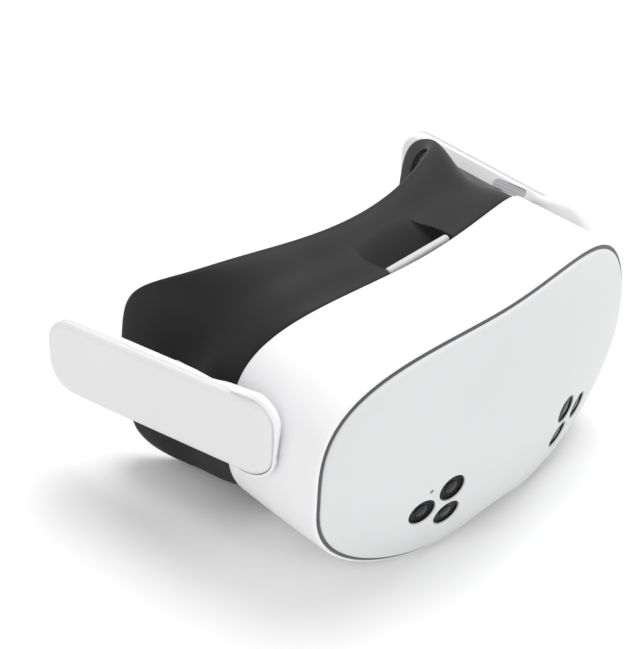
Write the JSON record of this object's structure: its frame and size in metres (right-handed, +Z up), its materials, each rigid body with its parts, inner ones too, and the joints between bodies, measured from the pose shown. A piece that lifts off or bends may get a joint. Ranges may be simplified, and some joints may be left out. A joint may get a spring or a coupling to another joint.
{
  "type": "vr headset",
  "caption": "Standalone headset visor with a curved faceplate, camera ports, wrap-round facial interface, sliding lenses and two rigid pivoting side arms.",
  "frame": {"origin": "centre of the footprint, on the surface the visor's underside flats stand on", "axes": "+X towards the wearer's left, +Y back towards the wearer's head, +Z up; the faceplate looks along -Y"},
  "size_m": [0.2128, 0.1482, 0.0983],
  "materials": {
    "shell_white": "satin",
    "face_white": "fine matte",
    "arm_grey": "fine matte",
    "gasket_grey": "matte",
    "window_black": "gloss",
    "module_black": "matte",
    "led_white": "gloss",
    "frame_metal": "cast",
    "screw_steel": "satin",
    "pin_steel": "polished",
    "board_green": "solder mask",
    "shield_metal": "satin",
    "copper": "bright",
    "battery_foil": "matte wrap",
    "display_black": "gloss",
    "bezel_black": "fine texture",
    "lens_clear": "coated",
    "pinion_ivory": "moulded",
    "sensor_glass": "gloss",
    "vent_light": "fine grain",
    "contact_gold": "polished",
    "shield_charcoal": "soft matte",
    "foam_charcoal": "soft foam skin",
    "grille_grey": "fine mesh"
  },
  "bodies": {
    "visor": {"main_shell": "shell_white", "front_cover": "face_white", "cover_gasket": "gasket_grey", "camera_windows": "window_black", "camera_modules": "module_black", "status_led": "led_white", "chassis_frame": "frame_metal", "chassis_screws": "screw_steel", "mainboard": "board_green", "processor_shield": "shield_metal", "heat_sink": "copper", "fan_housing": "module_black", "battery_pack": "battery_foil", "display_panel": "display_black", "rear_bezel": "bezel_black", "bezel_screws": "screw_steel", "lens_rails": "pin_steel", "pinion_pin": "pin_steel", "proximity_sensor": "sensor_glass", "vent_grille": "vent_light", "charge_contacts": "contact_gold", "usb_port": "pin_steel", "rocker_pin": "pin_steel", "left_pivot_hub": "shell_white", "right_pivot_hub": "shell_white"},
    "fan": {"fan_rotor": "module_black"},
    "left_lens_unit": {"left_lens_barrel": "bezel_black", "left_lens": "lens_clear"},
    "right_lens_unit": {"right_lens_barrel": "bezel_black", "right_lens": "lens_clear"},
    "pinion": {"lens_pinion": "pinion_ivory"},
    "power_key": {"power_button": "shell_white"},
    "action_key": {"action_button": "shell_white"},
    "volume_key": {"volume_rocker": "shell_white"},
    "facial_interface": {"facial_frame": "bezel_black", "light_shield": "shield_charcoal", "face_cushion": "foam_charcoal"},
    "left_arm": {"left_arm_cover": "arm_grey", "left_arm_inner": "shell_white", "left_pivot_pin": "pin_steel", "left_pivot_washer": "screw_steel", "left_speaker": "module_black", "left_speaker_grille": "grille_grey", "left_arm_screws": "screw_steel"},
    "right_arm": {"right_arm_cover": "arm_grey", "right_arm_inner": "shell_white", "right_pivot_pin": "pin_steel", "right_pivot_washer": "screw_steel", "right_speaker": "module_black", "right_speaker_grille": "grille_grey", "right_arm_screws": "screw_steel"}
  },
  "joints": [
    {"name": "left_arm_pitch", "type": "hinge", "parent": "visor", "child": "left_arm", "pos_m": [0.0894, -0.016, 0.0605], "axis": [1, 0, 0], "range_deg": [-20, 30]},
    {"name": "right_arm_pitch", "type": "hinge", "parent": "visor", "child": "right_arm", "pos_m": [-0.0894, -0.016, 0.0605], "axis": [1, 0, 0], "range_deg": [-20, 30]},
    {"name": "interface_pull", "type": "slide", "parent": "visor", "child": "facial_interface", "axis": [0, 1, 0], "range_m": [0, 0.025]},
    {"name": "left_lens_slide", "type": "slide", "parent": "visor", "child": "left_lens_unit", "axis": [1, 0, 0], "range_m": [-0.0025, 0.0025]},
    {"name": "right_lens_slide", "type": "slide", "parent": "visor", "child": "right_lens_unit", "axis": [1, 0, 0], "range_m": [-0.0025, 0.0025]},
    {"name": "pinion_turn", "type": "hinge", "parent": "visor", "child": "pinion", "pos_m": [0, -0.028, 0.0455], "axis": [0, 1, 0], "range_deg": [-30, 30]},
    {"name": "fan_spin", "type": "hinge", "parent": "visor", "child": "fan", "pos_m": [0, -0.0534, 0.026], "axis": [0, 1, 0], "continuous": true},
    {"name": "power_press", "type": "slide", "parent": "visor", "child": "power_key", "axis": [-0.9479, 0, 0.3187], "range_m": [0, 0.0006], "stiffness_N_per_m": 600, "springref_m": -0.0008},
    {"name": "action_press", "type": "slide", "parent": "visor", "child": "action_key", "axis": [0.3243, 0, 0.946], "range_m": [0, 0.0006], "stiffness_N_per_m": 600, "springref_m": -0.0008},
    {"name": "volume_tilt", "type": "hinge", "parent": "visor", "child": "volume_key", "pos_m": [0.05412, -0.03805, 0.00742], "axis": [-0.946, 0, -0.3243], "range_deg": [-2.5, 2.5], "stiffness_Nm_per_rad": 0.05}
  ],
  "couplings": [
    {"joint": "right_lens_slide", "follows": "left_lens_slide", "ratio": -1},
    {"joint": "pinion_turn", "follows": "left_lens_slide", "rad_per_m": 208.33}
  ]
}
